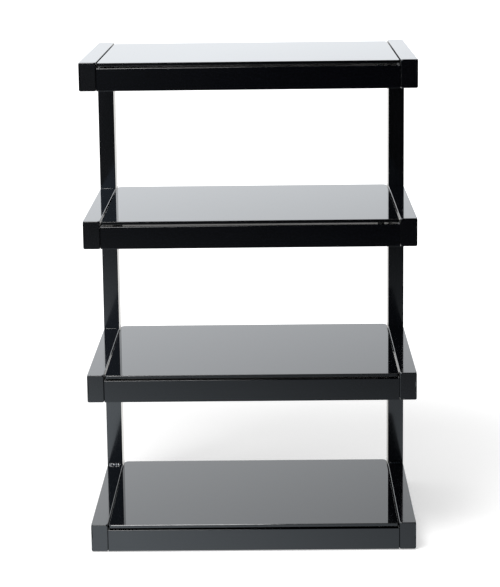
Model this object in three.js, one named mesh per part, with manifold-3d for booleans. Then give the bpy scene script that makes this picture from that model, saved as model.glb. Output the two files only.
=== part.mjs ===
// An open audio equipment rack: two welded side ladders of rectangular steel tube, joined at four
// levels by a front and a rear cross rail, with a lift-out glass shelf on soft pads at each level.
// Millimetres, +Z up. The origin is on the floor under the middle of the rack, the front is at -Y
// and +X is on the right of someone who faces it.
import * as THREE from "three";
import { mergeVertices } from "three/addons/utils/BufferGeometryUtils.js";
import Module from "manifold-3d";

const wasm = await Module();
wasm.setup();

// Driving dimensions of the rack
const WIDTH = 590;
const DEPTH = 440;
const LEVEL_PITCH = 279;
const LEVELS = ["bottom", "lower", "upper", "top"];
const BAYS = ["bottom", "middle", "top"];
const SIDES = { left: -1, right: 1 };

// Tube stock
const RAIL_WIDTH = 30;
const RAIL_HEIGHT = 50;
const POST_DEPTH = 50;
const CROSS_DEPTH = 50;
const TUBE_WALL = 1.5;
const TUBE_CORNER = 2;
const REAR_RAIL_INSET = 15;

// Closing plate that is welded on each end of a side rail
const END_PLATE = 3;
const END_PLATE_CHAMFER = 0.5;

// Weld beads across the front of the posts: a full one at the foot of the lowest posts, and one
// dressed nearly flush at every other end
const WELD_LEG = 4;
const DRESSED_WELD_LEG = 1.5;
const WELD_LENGTH = 24;
const WELD_RIPPLES = 4;
const WELD_EMBED = 1;
const WELD_RIPPLE_SHARE = 0.12;
const WELD_END_SHARE = 0.35;

// Glass shelf and the pads it lies on
const GLASS_THICKNESS = 6;
const GLASS_DROP = 1;
const GLASS_SIDE_GAP = 2;
const GLASS_REAR_SETBACK = 20;
const GLASS_REAR_RADIUS = 10;
const GLASS_FRONT_RADIUS = 5;
const GLASS_ARRIS = 1.2;
const PAD_SPACE = 3.5;
const PAD_DIAMETER = 12;
const PAD_EDGE = 0.3;
const PAD_INSET = 33;

// Bolt and locating pin that hold each end of a cross rail
const BOLT_DIAMETER = 8;
const BOLT_LENGTH = 20;
const BOLT_HEAD_DIAMETER = 13;
const BOLT_HEAD_HEIGHT = 8;
const BOLT_CHAMFER = 1;
const HEX_ACROSS_FLATS = 6;
const HEX_DEPTH = 4;
const THREADED_PLATE = 8;
const ACCESS_CLEARANCE = 0.5;
const PIN_DIAMETER = 5;
const PIN_REACH = 2;
const PIN_DROP = 14;

// Levelling foot and the weld nut it screws into
const FOOT_HEIGHT = 2;
const FOOT_DIAMETER = 28;
const FOOT_INSET = 55;
const FOOT_EDGE = 0.4;
const FOOT_STUD_DIAMETER = 8;
const FOOT_STUD_REACH = 24;
const NUT_PILOT_DIAMETER = 10.5;
const NUT_FLANGE_DIAMETER = 20;
const NUT_FLANGE = 2;
const NUT_BODY_DIAMETER = 13;
const NUT_LENGTH = 10;
const NUT_CHAMFER = 0.75;

// Clearance between two pieces that seat on each other, and the overrun of every cut
const FIT = 0.25;
const OVERRUN = 1;

// Facets
const CORNER_FACETS = 2;
const GLASS_CORNER_FACETS = 5;
const HOLE_FACETS = 10;
const BOLT_FACETS = 10;
const PIN_FACETS = 6;
const ROUND_FACETS = 16;
const WELD_ARC_FACETS = 3;
const HEXAGON = 6;

// Sizes that follow from the ones above
const CROSS_HEIGHT = RAIL_HEIGHT - GLASS_DROP - GLASS_THICKNESS - PAD_SPACE;
const CROSS_LENGTH = WIDTH - 2 * RAIL_WIDTH - 2 * FIT;
const INNER_X = WIDTH / 2 - RAIL_WIDTH;
const RAIL_X = WIDTH / 2 - RAIL_WIDTH / 2;
const FRONT_Y = -DEPTH / 2;
const REAR_Y = DEPTH / 2;
const FRONT_RAIL_Y = FRONT_Y + CROSS_DEPTH / 2;
const REAR_RAIL_Y = REAR_Y - REAR_RAIL_INSET - CROSS_DEPTH / 2;
const POST_Y = REAR_Y - POST_DEPTH / 2;
const BOLT_RISE = RAIL_HEIGHT / 2;
const PIN_RISE = BOLT_RISE - PIN_DROP;
const PAD_X = INNER_X - PAD_INSET;
const GLASS_WIDTH = 2 * INNER_X - 2 * GLASS_SIDE_GAP;
const GLASS_DEPTH = DEPTH - GLASS_REAR_SETBACK;
const GLASS_UNDERSIDE = RAIL_HEIGHT - GLASS_DROP - GLASS_THICKNESS;
const levelZ = (level) => FOOT_HEIGHT + level * LEVEL_PITCH;

// Finishes
const finish = (color, roughness, metalness) =>
  new THREE.MeshStandardMaterial({ color, roughness, metalness });
const LACQUER = finish(0x0a0a0c, 0.12, 0.0);
const GLASS = finish(0x050507, 0.03, 0.0);
const RUBBER = finish(0xb9bcbd, 0.5, 0.0);
const ZINC = finish(0x9aa0a4, 0.35, 1.0);
const NYLON = finish(0x151517, 0.55, 0.0);

// Turns that lay a shape's own X, Y and Z axes along other axes
const turn = (x, y, z) => new THREE.Matrix4().makeBasis(x, y, z);
const X = new THREE.Vector3(1, 0, 0);
const Y = new THREE.Vector3(0, 1, 0);
const Z = new THREE.Vector3(0, 0, 1);
const EXTRUDE_TO_X = turn(Y, Z, X);
const STAND_UP = turn(X, Z, Y.clone().negate());
const AXIS_TO_X = { "-1": turn(Y, X.clone().negate(), Z), 1: turn(Y.clone().negate(), X, Z) };

// A closed geometry as a solid that can be cut and joined
function solidOf(geometry) {
  const bare = geometry.clone();
  bare.deleteAttribute("normal");
  bare.deleteAttribute("uv");
  const merged = mergeVertices(bare);
  const mesh = new wasm.Mesh({
    numProp: 3,
    vertProperties: merged.attributes.position.array,
    triVerts: new Uint32Array(merged.index.array),
  });
  return new wasm.Manifold(mesh);
}

// A solid back as a geometry with flat facets
function geometryOf(solid) {
  const mesh = solid.getMesh();
  const geometry = new THREE.BufferGeometry();
  geometry.setAttribute("position", new THREE.BufferAttribute(mesh.vertProperties, mesh.numProp));
  geometry.setIndex(new THREE.BufferAttribute(mesh.triVerts, 1));
  const flat = geometry.toNonIndexed();
  flat.computeVertexNormals();
  return flat;
}

// The points of a rectangle centred on zero whose corners are arcs; radii run anticlockwise from
// the corner at +X +Y
function roundedRectangle(width, height, radii, facets) {
  const corners = [
    [1, 1],
    [-1, 1],
    [-1, -1],
    [1, -1],
  ];
  return corners.flatMap(([signX, signY], corner) => {
    const radius = radii[corner];
    const centreX = signX * (width / 2 - radius);
    const centreY = signY * (height / 2 - radius);
    return Array.from({ length: facets + 1 }, (_, step) => {
      const angle = ((corner + step / facets) * Math.PI) / 2;
      return new THREE.Vector2(
        centreX + radius * Math.cos(angle),
        centreY + radius * Math.sin(angle),
      );
    });
  });
}

const evenCorners = (radius) => [radius, radius, radius, radius];

// Rectangular tube, open at both ends, centred on zero with its length along the shape's Z
function tube(width, height, length) {
  const shape = new THREE.Shape(
    roundedRectangle(width, height, evenCorners(TUBE_CORNER), CORNER_FACETS),
  );
  const bore = roundedRectangle(
    width - 2 * TUBE_WALL,
    height - 2 * TUBE_WALL,
    evenCorners(TUBE_CORNER - TUBE_WALL),
    CORNER_FACETS,
  );
  shape.holes.push(new THREE.Path(bore));
  const geometry = new THREE.ExtrudeGeometry(shape, { depth: length, bevelEnabled: false });
  return geometry.translate(0, 0, -length / 2);
}

// Rounded plate with chamfered rims, centred on zero with its thickness along the shape's Z
function chamferedPlate(width, height, thickness, radii, chamfer, facets) {
  const inner = radii.map((radius) => radius - chamfer);
  const points = roundedRectangle(width - 2 * chamfer, height - 2 * chamfer, inner, facets);
  const geometry = new THREE.ExtrudeGeometry(new THREE.Shape(points), {
    depth: thickness - 2 * chamfer,
    bevelEnabled: true,
    bevelThickness: chamfer,
    bevelSize: chamfer,
    bevelSegments: 1,
  });
  return geometry.translate(0, 0, chamfer - thickness / 2);
}

// Round cutter along X from one place to another
function roundCut(diameter, fromX, toX, y, z, facets) {
  const length = Math.abs(toX - fromX);
  const geometry = new THREE.CylinderGeometry(diameter / 2, diameter / 2, length, facets);
  return solidOf(geometry.applyMatrix4(AXIS_TO_X[1]).translate((fromX + toX) / 2, y, z));
}

// Round cutter along Z from one height to another
function uprightCut(diameter, x, y, fromZ, toZ, facets) {
  const geometry = new THREE.CylinderGeometry(diameter / 2, diameter / 2, toZ - fromZ, facets);
  return solidOf(geometry.applyMatrix4(STAND_UP).translate(x, y, (fromZ + toZ) / 2));
}

// A piece turned on its axis from a profile of [radius, height] pairs that run upwards
function turned(profile, facets) {
  const points = profile.map(([radius, height]) => new THREE.Vector2(radius, height));
  return new THREE.LatheGeometry(points, facets);
}

const rack = new THREE.Group();

function add(name, geometry, material, x = 0, y = 0, z = 0) {
  const mesh = new THREE.Mesh(geometry, material);
  mesh.name = name;
  mesh.position.set(x, y, z);
  rack.add(mesh);
}

// Side rail: a tube with a closing plate on each end, an access hole in its outer wall and a bolt
// hole and a pin hole in its inner wall at each cross rail, and the foot holes on the lowest one.
// It is centred on zero across and along, with its underside at zero.
function sideRail(sign, hasFeet) {
  const lap = END_PLATE_CHAMFER / 2;
  const body = tube(RAIL_WIDTH, RAIL_HEIGHT, DEPTH - 2 * END_PLATE + 2 * lap);
  let rail = solidOf(body.applyMatrix4(STAND_UP).translate(0, 0, RAIL_HEIGHT / 2));
  for (const end of [-1, 1]) {
    const plate = chamferedPlate(
      RAIL_WIDTH,
      RAIL_HEIGHT,
      END_PLATE,
      evenCorners(TUBE_CORNER),
      END_PLATE_CHAMFER,
      CORNER_FACETS,
    );
    plate.applyMatrix4(STAND_UP);
    plate.translate(0, (end * (DEPTH - END_PLATE)) / 2, RAIL_HEIGHT / 2);
    rail = rail.add(solidOf(plate));
  }
  const innerFace = (-sign * RAIL_WIDTH) / 2;
  const outerFace = (sign * RAIL_WIDTH) / 2;
  for (const y of [FRONT_RAIL_Y, REAR_RAIL_Y]) {
    const bolt = BOLT_DIAMETER + 2 * FIT;
    const pin = PIN_DIAMETER + 2 * FIT;
    const access = BOLT_HEAD_DIAMETER + 2 * ACCESS_CLEARANCE;
    const past = innerFace - sign * OVERRUN;
    rail = rail
      .subtract(roundCut(bolt, past, 0, y, BOLT_RISE, HOLE_FACETS))
      .subtract(roundCut(pin, past, 0, y, PIN_RISE, PIN_FACETS))
      .subtract(roundCut(access, 0, outerFace + sign * OVERRUN, y, BOLT_RISE, HOLE_FACETS));
  }
  if (hasFeet) {
    for (const y of [FRONT_Y + FOOT_INSET, REAR_Y - FOOT_INSET]) {
      const hole = NUT_PILOT_DIAMETER + 2 * FIT;
      rail = rail.subtract(
        uprightCut(hole, 0, y, -OVERRUN, TUBE_WALL + OVERRUN, HOLE_FACETS),
      );
    }
  }
  return geometryOf(rail);
}

// Weld bead: a quarter-round fillet carried along X, whose leg swells at each ripple and tapers at
// both ends; the fillet's corner is at zero, it stands out towards -Y and up
function weldBead(fullLeg) {
  const stations = 2 * WELD_RIPPLES + 1;
  const corners = WELD_ARC_FACETS + 3;
  const positions = [];
  for (let station = 0; station < stations; station += 1) {
    const along = station / (stations - 1);
    const nearEnd = station === 0 || station === stations - 1;
    const ripple = 1 + WELD_RIPPLE_SHARE * (station % 2 ? 1 : -1);
    const leg = fullLeg * (nearEnd ? WELD_END_SHARE : ripple);
    const x = (along - 1 / 2) * WELD_LENGTH;
    positions.push(x, WELD_EMBED, 0);
    for (let step = 0; step <= WELD_ARC_FACETS; step += 1) {
      const angle = ((step / WELD_ARC_FACETS) * Math.PI) / 2;
      positions.push(x, -leg * Math.cos(angle), leg * Math.sin(angle));
    }
    positions.push(x, WELD_EMBED, leg);
  }
  const faces = [];
  for (let station = 0; station + 1 < stations; station += 1) {
    for (let corner = 0; corner < corners; corner += 1) {
      const a = station * corners + corner;
      const b = station * corners + ((corner + 1) % corners);
      faces.push(a, a + corners, b, b, a + corners, b + corners);
    }
  }
  const last = (stations - 1) * corners;
  for (let corner = 1; corner + 1 < corners; corner += 1) {
    faces.push(0, corner, corner + 1);
    faces.push(last, last + corner + 1, last + corner);
  }
  const geometry = new THREE.BufferGeometry();
  geometry.setAttribute("position", new THREE.Float32BufferAttribute(positions, 3));
  geometry.setIndex(faces);
  return geometry;
}

// Post: a tube on end between two side rails, with a weld bead across its front face at each end,
// of which the one at the foot has the leg given. It is centred on zero across and along, with its
// foot at zero.
function post(footLeg) {
  const length = LEVEL_PITCH - RAIL_HEIGHT - 2 * FIT;
  const body = tube(RAIL_WIDTH, POST_DEPTH, length).translate(0, 0, length / 2);
  const lower = weldBead(footLeg).translate(0, -POST_DEPTH / 2, 0);
  const upper = weldBead(DRESSED_WELD_LEG).translate(0, -POST_DEPTH / 2, 0);
  upper.applyMatrix4(turn(X.clone().negate(), Y, Z.clone().negate()));
  upper.translate(0, 0, length);
  return geometryOf(solidOf(body).add(solidOf(lower)).add(solidOf(upper)));
}

// Soft round pad with rounded rims that starts at one height and ends at another
function pad(fromZ, toZ) {
  const radius = PAD_DIAMETER / 2;
  const profile = [
    [0, fromZ],
    [radius, fromZ],
    [radius, toZ - PAD_EDGE],
    [radius - PAD_EDGE, toZ],
    [0, toZ],
  ];
  return turned(profile, HOLE_FACETS).applyMatrix4(STAND_UP);
}

// Cross rail: a tube with a threaded plate welded inside each end and a locating pin on the plate.
// It is centred on zero across and along, with its underside at zero.
function crossRail(carriesPads) {
  const body = tube(CROSS_DEPTH, CROSS_HEIGHT, CROSS_LENGTH).applyMatrix4(EXTRUDE_TO_X);
  let rail = solidOf(body.translate(0, 0, CROSS_HEIGHT / 2));
  for (const sign of Object.values(SIDES)) {
    const end = (sign * CROSS_LENGTH) / 2;
    const inside = end - sign * THREADED_PLATE;
    const plate = new THREE.BoxGeometry(
      THREADED_PLATE,
      CROSS_DEPTH - TUBE_WALL,
      CROSS_HEIGHT - TUBE_WALL,
    );
    plate.translate((end + inside) / 2, 0, CROSS_HEIGHT / 2);
    const thread = BOLT_DIAMETER + 2 * FIT;
    const past = end + sign * OVERRUN;
    rail = rail
      .add(solidOf(plate))
      .subtract(roundCut(thread, inside - sign * OVERRUN, past, 0, BOLT_RISE, HOLE_FACETS))
      .add(roundCut(PIN_DIAMETER, inside, end + sign * PIN_REACH, 0, PIN_RISE, PIN_FACETS));
  }
  if (carriesPads) {
    for (const x of [-PAD_X, PAD_X]) {
      const top = CROSS_HEIGHT + PAD_SPACE - FIT;
      rail = rail.add(solidOf(pad(CROSS_HEIGHT - TUBE_WALL / 2, top).translate(x, 0, 0)));
    }
  }
  return geometryOf(rail);
}

// Socket-head bolt with its thread towards -Y of the turned shape and its head's seat at zero
function railBolt() {
  const head = BOLT_HEAD_DIAMETER / 2;
  const shank = BOLT_DIAMETER / 2;
  const profile = [
    [0, -BOLT_LENGTH],
    [shank - BOLT_CHAMFER, -BOLT_LENGTH],
    [shank, BOLT_CHAMFER - BOLT_LENGTH],
    [shank, 0],
    [head, 0],
    [head, BOLT_HEAD_HEIGHT - BOLT_CHAMFER],
    [head - BOLT_CHAMFER, BOLT_HEAD_HEIGHT],
    [0, BOLT_HEAD_HEIGHT],
  ];
  const corner = HEX_ACROSS_FLATS / 2 / Math.cos(Math.PI / HEXAGON);
  const socket = new THREE.CylinderGeometry(corner, corner, HEX_DEPTH + OVERRUN, HEXAGON);
  socket.translate(0, BOLT_HEAD_HEIGHT + (OVERRUN - HEX_DEPTH) / 2, 0);
  return geometryOf(solidOf(turned(profile, BOLT_FACETS)).subtract(solidOf(socket)));
}

// Glass shelf with ground arrises, centred on zero across, its front edge and underside at zero
function glassShelf() {
  const radii = [GLASS_REAR_RADIUS, GLASS_REAR_RADIUS, GLASS_FRONT_RADIUS, GLASS_FRONT_RADIUS];
  const plate = chamferedPlate(
    GLASS_WIDTH,
    GLASS_DEPTH,
    GLASS_THICKNESS,
    radii,
    GLASS_ARRIS,
    GLASS_CORNER_FACETS,
  );
  return plate.translate(0, GLASS_DEPTH / 2, GLASS_THICKNESS / 2);
}

// Levelling foot: a round base on the floor with a threaded stud that rises into the nut
function levellingFoot() {
  const base = FOOT_DIAMETER / 2;
  const stud = FOOT_STUD_DIAMETER / 2;
  const top = FOOT_HEIGHT - FIT;
  const profile = [
    [0, 0],
    [base - FOOT_EDGE, 0],
    [base, FOOT_EDGE],
    [base, top - FOOT_EDGE],
    [base - FOOT_EDGE, top],
    [stud, top],
    [stud, FOOT_STUD_REACH - BOLT_CHAMFER],
    [stud - BOLT_CHAMFER, FOOT_STUD_REACH],
    [0, FOOT_STUD_REACH],
  ];
  return turned(profile, ROUND_FACETS).applyMatrix4(STAND_UP);
}

// Weld nut: a pilot in the rail's lower wall, a flange on the wall's inner face and a body above it.
// The profile closes on itself round the bore, and zero is the rail's underside.
function footNut() {
  const bore = FOOT_STUD_DIAMETER / 2 + FIT;
  const pilot = NUT_PILOT_DIAMETER / 2;
  const flange = NUT_FLANGE_DIAMETER / 2;
  const body = NUT_BODY_DIAMETER / 2;
  const seat = TUBE_WALL + FIT;
  const profile = [
    [bore, FIT],
    [pilot, FIT],
    [pilot, seat],
    [flange, seat],
    [flange, seat + NUT_FLANGE - NUT_CHAMFER],
    [flange - NUT_CHAMFER, seat + NUT_FLANGE],
    [body, seat + NUT_FLANGE],
    [body, seat + NUT_LENGTH - NUT_CHAMFER],
    [body - NUT_CHAMFER, seat + NUT_LENGTH],
    [bore, seat + NUT_LENGTH],
    [bore, FIT],
  ];
  return turned(profile, BOLT_FACETS).applyMatrix4(STAND_UP);
}

// The side ladders
for (const [side, sign] of Object.entries(SIDES)) {
  LEVELS.forEach((name, level) => {
    const rail = sideRail(sign, level === 0);
    add(`side_rail_${side}_${name}`, rail, LACQUER, sign * RAIL_X, 0, levelZ(level));
  });
  BAYS.forEach((name, bay) => {
    const foot = levelZ(bay) + RAIL_HEIGHT + FIT;
    const shape = post(bay === 0 ? WELD_LEG : DRESSED_WELD_LEG);
    add(`post_${side}_${name}`, shape, LACQUER, sign * RAIL_X, POST_Y, foot);
  });
}

// The cross rails, their bolts, the pads and the glass of each level
LEVELS.forEach((name, level) => {
  const z = levelZ(level);
  add(`front_rail_${name}`, crossRail(false), LACQUER, 0, FRONT_RAIL_Y, z);
  add(`rear_rail_${name}`, crossRail(true), LACQUER, 0, REAR_RAIL_Y, z);
  for (const [side, sign] of Object.entries(SIDES)) {
    const seat = sign * (INNER_X + TUBE_WALL + FIT);
    for (const [place, y] of [["front", FRONT_RAIL_Y], ["rear", REAR_RAIL_Y]]) {
      const bolt = railBolt().applyMatrix4(AXIS_TO_X[sign]);
      add(`rail_bolt_${place}_${side}_${name}`, bolt, ZINC, seat, y, z + BOLT_RISE);
    }
    const cushion = pad(CROSS_HEIGHT + FIT, CROSS_HEIGHT + PAD_SPACE - FIT);
    add(`glass_pad_${side}_${name}`, cushion, RUBBER, sign * PAD_X, FRONT_RAIL_Y, z);
  }
  add(`glass_shelf_${name}`, glassShelf(), GLASS, 0, FRONT_Y, z + GLASS_UNDERSIDE);
});

// The feet
for (const [side, sign] of Object.entries(SIDES)) {
  for (const [place, y] of [["front", FRONT_Y + FOOT_INSET], ["rear", REAR_Y - FOOT_INSET]]) {
    add(`foot_${place}_${side}`, levellingFoot(), NYLON, sign * RAIL_X, y, 0);
    add(`foot_nut_${place}_${side}`, footNut(), ZINC, sign * RAIL_X, y, FOOT_HEIGHT);
  }
}

export default rack;
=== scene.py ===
"""Looks of an open audio equipment rack: gloss black tube ladders, cross rails and black glass shelves.

Everything is in metres in the rack's own frame: +Z up, the front at -Y, the origin on the floor.
"""

import math

import bpy
import numpy as np
from mathutils import Matrix, Vector


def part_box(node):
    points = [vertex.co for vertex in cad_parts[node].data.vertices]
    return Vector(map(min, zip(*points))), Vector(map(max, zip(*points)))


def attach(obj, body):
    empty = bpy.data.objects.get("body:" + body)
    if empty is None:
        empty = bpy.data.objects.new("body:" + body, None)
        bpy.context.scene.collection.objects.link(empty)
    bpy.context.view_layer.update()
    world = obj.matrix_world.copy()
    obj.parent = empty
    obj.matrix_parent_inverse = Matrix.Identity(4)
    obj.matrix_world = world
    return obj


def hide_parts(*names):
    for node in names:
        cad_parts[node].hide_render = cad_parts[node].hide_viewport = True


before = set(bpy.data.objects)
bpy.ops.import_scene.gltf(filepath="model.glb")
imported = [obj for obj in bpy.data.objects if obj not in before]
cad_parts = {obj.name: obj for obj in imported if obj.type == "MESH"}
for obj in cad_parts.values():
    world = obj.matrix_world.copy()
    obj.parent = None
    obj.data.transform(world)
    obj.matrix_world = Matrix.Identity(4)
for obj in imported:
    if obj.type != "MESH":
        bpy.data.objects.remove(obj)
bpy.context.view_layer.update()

MM = 0.001
SIDES = {"left": -1, "right": 1}
LEVELS = ["bottom", "lower", "upper", "top"]
BAYS = ["bottom", "middle", "top"]
PLACES = ["front", "rear"]

# The rack's footprint
HALF_WIDTH = 295.0 * MM
HALF_DEPTH = 220.0 * MM

# Tube stock
TUBE_WIDTH = 30.0 * MM
TUBE_WALL = 1.5 * MM
TUBE_CORNER = 0.9 * MM
TUBE_INNER_CORNER = 0.5 * MM
CORNER_STEPS = 8
EDGE_STEPS = 5
LEAST_CORNER = 0.01 * MM

# Ends of the side rails, where the tube's corners grow softer towards the closing plate
PLATE_THICKNESS = 3.0 * MM
PLATE_EDGE = 1.1 * MM
END_CORNER = 3.6 * MM
END_REACH = 9.0 * MM

# Posts
POST_DEPTH = 50.0 * MM
POST_CORNER = 0.4 * MM
POST_END_EDGE = 0.05 * MM

# Seams between the cross rails and the side rails
SEAM_GAP = 0.1 * MM
SEAM_MOUTH = 0.8 * MM
SEAM_DEPTH = 4.0 * MM
SEAM_EDGE = 0.1 * MM

# Holes in the side rails
HOLE_CELLS = 12
HOLE_PATCH = 24.0 * MM
HOLE_RIM = 0.5 * MM
ACCESS_HOLE = 14.0 * MM

# Glass
GLASS_REAR_RADIUS = 10.0 * MM
GLASS_FRONT_RADIUS = 5.0 * MM
GLASS_ARRIS = 0.75 * MM
ARRIS_EDGE = 0.12 * MM
GLASS_CORNER_STEPS = 14

# Pads under the glass
PAD_EDGE = 0.3 * MM
PAD_FACETS = 40

# Weld beads, left rough or dressed: the leg, the ripples along it, how far these and the waves of
# the metal stand out as shares of the leg, and the points to each ripple
WELD_LENGTH = 24.0 * MM
WELD_EMBED = 1.0 * MM
WELD_END_SHARE = 0.25
WELD_END_POWER = 8
WELD_CROWN_SHARE = 0.2
RIPPLE_BOW = 0.5
RIPPLE_MIDDLE = 0.6
WAVE_ORDERS = range(2, 8)
WAVE_ACROSS = 1.5
WAVE_FADE = 0.6
BEAD_SEED = 2
ROUGH_BEAD = {"leg": 4.0 * MM, "ripples": 5, "share": 0.2, "roughness": 0.06, "fineness": 36}
DRESSED_BEAD = {"leg": 0.4 * MM, "ripples": 7, "share": 0.09, "roughness": 0.0, "fineness": 10}

# Socket-head bolts of the cross rails
BOLT_SHANK = 4.0 * MM
BOLT_HEAD = 6.5 * MM
BOLT_HEAD_HEIGHT = 8.0 * MM
BOLT_EDGE = 1.0 * MM
HEX_HALF = 3.0 * MM
HEX_DEPTH = 4.0 * MM
HEX_MOUTH = 0.4 * MM
KNURL_TEETH = 36
KNURL_DEPTH = 0.18 * MM
HEAD_RIM_SHARE = 0.9

# Levelling feet and their weld nuts
FOOT_EDGE = 0.4 * MM
FOOT_EDGE_STEPS = 6
THREAD_COLUMNS = 48
THREAD_ROWS = 8
THREAD_RADIUS = 4.0 * MM
THREAD_PITCH = 1.25 * MM
THREAD_DEPTH = 0.6 * MM
FOOT_GAP = 0.25 * MM
NUT_BORE = 4.25 * MM
NUT_PILOT = 5.25 * MM
NUT_FLANGE = 10.0 * MM
NUT_FLANGE_HEIGHT = 2.0 * MM
NUT_BODY = 6.5 * MM
NUT_PILOT_HEIGHT = 1.5 * MM
NUT_EDGE = 0.5 * MM
NUT_FACETS = 48

# Lean below which two faces share a smooth normal, and distances that count as none
SMOOTH_LEAN = math.radians(32)
MERGE_STEP = 1e-7
HAIR = 1e-9

# Lacquer: tones, refractive indices, roughness and the depth of its spray texture. The posts' tones and
# the end plates' tone are lighter than the rest: a painted sheen that stands in for light falling on them.
# The posts' coat is softer, and less of their inner sides is dry.
LACQUER_DARK, LACQUER_PALE = (0.0007, 0.0008, 0.0015), (0.0010, 0.0011, 0.0020)
POST_PAINTED_SHEEN_DARK, POST_PAINTED_SHEEN_PALE = (0.0038, 0.0040, 0.0050), (0.0046, 0.0048, 0.0058)
# painted sheen on the end plates of the side rails, a lighter colour that stands in for light
END_PLATE_PAINTED_SHEEN = (0.0034, 0.0035, 0.0042)
LACQUER_INDEX, BEAD_INDEX = 1.55, 2.6
LACQUER_ROUGHNESS, LACQUER_COAT_ROUGHNESS = 0.07, 0.02
SMUDGE_ROUGHNESS, DRY_ROUGHNESS = 0.05, 0.15
POST_SOFTNESS, POST_DRYNESS = 0.04, 0.3
SPRAY_DEPTH = 0.06 * MM

# Black glass: tones, refractive index and roughness of the face, the arrises and the underside
GLASS_TONE, ARRIS_TONE = (0.0008, 0.0008, 0.0012), (0.03, 0.03, 0.03)
GLASS_INDEX = 1.55
GLASS_ROUGHNESS, GLASS_COAT_ROUGHNESS = 0.02, 0.01
WIPED_ROUGHNESS, ARRIS_ROUGHNESS, UNDERSIDE_ROUGHNESS = 0.06, 0.12, 0.06

# Dust, and the finishes of the small parts
DUST_TONE = (0.10, 0.10, 0.10)
ZINC_BLUE, ZINC_YELLOW = (0.52, 0.54, 0.56), (0.60, 0.58, 0.52)
ZINC_ROUGHNESS, ZINC_GRAIN_ROUGHNESS = 0.26, 0.15
ZINC_GRAIN_DEPTH = 0.02 * MM
RUBBER_DARK, RUBBER_PALE = (0.42, 0.43, 0.43), (0.55, 0.56, 0.56)
NYLON_DARK, NYLON_PALE = (0.010, 0.010, 0.011), (0.020, 0.020, 0.021)
NYLON_STIPPLE_DEPTH = 0.04 * MM

# Ramps of the finishes: the source's two ends, then the values there where these aren't 0 and 1
CLOUD_EDGE = (0.42, 0.72)
STREAK_EDGE = (0.52, 0.78)
NOISE_MIDDLE = (0.3, 0.7)
LOOKS_UP = (0.5, 0.9)
FACES_STRAIGHT = (0.9, 0.98)
FACES_DOWN = (-0.8, -0.95)
ARRIS_SLOPE = (0.78, 0.92)
# painted sheen on the end plates: full on the left ones, falling to 0.3 on the right ones
PAINTED_SHEEN_TO_LEFT = (-0.1, 0.1, 1.0, 0.3)
RUBBER_GLOSS = (0.3, 0.7, 0.38, 0.55)
NYLON_GLOSS = (0.3, 0.7, 0.42, 0.56)

# Distance over which one finish gives way to another, and the normal's height on an arris
FINISH_BLEND = 0.3 * MM
ARRIS_LEAN = 0.707

# Floor: its tone, the glow that the camera sees, and its brightness to mirror-like faces
FLOOR_REACH = 30.0
FLOOR_TONE = (0.86, 0.86, 0.86, 1.0)
GLOW_BY_DISTANCE = (0.7, 2.2, 0.45, 1.0)
GLOW_TO_RIGHT = 0.35
EULER = 2.718
FRONT_STEP, FRONT_POWER = 1.46, 1.45
FRONT_LIGHT, FRONT_LEAST = 0.78, 0.018
FADE_TO_RIGHT = 1.35
FAR_LEFT = (-2.2, -0.7, 0.1, 1.0)
BEHIND_RACK = (0.1, 1.4, 0.0, 0.95)
UNDER_RACK = (-0.01, 0.01, 0.04, 1.0)
COOL_TO_WARM = (-0.2, 0.3)
FLOOR_COOL, FLOOR_WARM = (0.83, 0.92, 1.0), (1.0, 0.99, 0.97)

# World by the direction of a ray: light for plain surfaces, and the studio that mirror-like faces see
PLAIN_LIGHT = 0.50
STUDIO_FRONT = (-0.12, 0.06, 0.34, 0.05)
FRONT_TO_BACK = (-0.35, 0.35)
HEIGHT_FADE = 0.135
LEVEL_LIGHT, LEVEL_FALL = 1.214, 0.6
SIDE_LEAN, SIDE_LEAN_RISE = 0.1, 6.2
STUDIO_COOL, STUDIO_WHITE = (0.62, 0.78, 1.0), (0.93, 0.963, 1.0)
WHITE = (1.0, 1.0, 1.0)

# The photograph's camera
CAMERA_PLACE = (0.04536, -3.81506, 1.20423)
CAMERA_RIGHT = (0.99987518, 0.01060726, -0.01170911)
CAMERA_UP = (0.0093759, 0.19813908, 0.98012907)
CAMERA_AHEAD = (-0.01271652, 0.98011652, -0.1980149)
CAMERA_LENS = 126.921
CAMERA_SENSOR = 36.0


# Surfaces

class Surface:
    """Grids and polygons gathered into one mesh whose shared points are merged."""

    def __init__(self):
        self.points = []
        self.faces = []
        self.count = 0

    def grid(self, points, flip=False):
        """Quads over an array of (rows, columns, 3) points; flip turns them over."""
        rows, columns = points.shape[:2]
        index = self.count + np.arange(rows * columns).reshape(rows, columns)
        quads = np.stack(
            [index[:-1, :-1], index[:-1, 1:], index[1:, 1:], index[1:, :-1]], -1
        ).reshape(-1, 4)
        if flip:
            quads = quads[:, ::-1]
        self.faces.extend(quads.tolist())
        self.points.append(points.reshape(-1, 3))
        self.count += rows * columns

    def polygon(self, points, flip=False):
        """One flat polygon over an array of (count, 3) points in order."""
        index = list(range(self.count, self.count + len(points)))
        self.faces.append(index[::-1] if flip else index)
        self.points.append(points)
        self.count += len(points)

    def merged(self):
        """Points and faces with points closer than a tenth of a micron made one, and no empty face."""
        points = np.concatenate(self.points)
        keys = np.round(points / MERGE_STEP).astype(np.int64)
        _, first, inverse = np.unique(keys, axis=0, return_index=True, return_inverse=True)
        inverse = inverse.reshape(-1)
        faces = []
        for face in self.faces:
            ring = [int(inverse[i]) for i in face]
            ring = [a for a, b in zip(ring, ring[1:] + ring[:1]) if a != b]
            if len(ring) > 2:
                faces.append(ring)
        return points[first], faces


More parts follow.
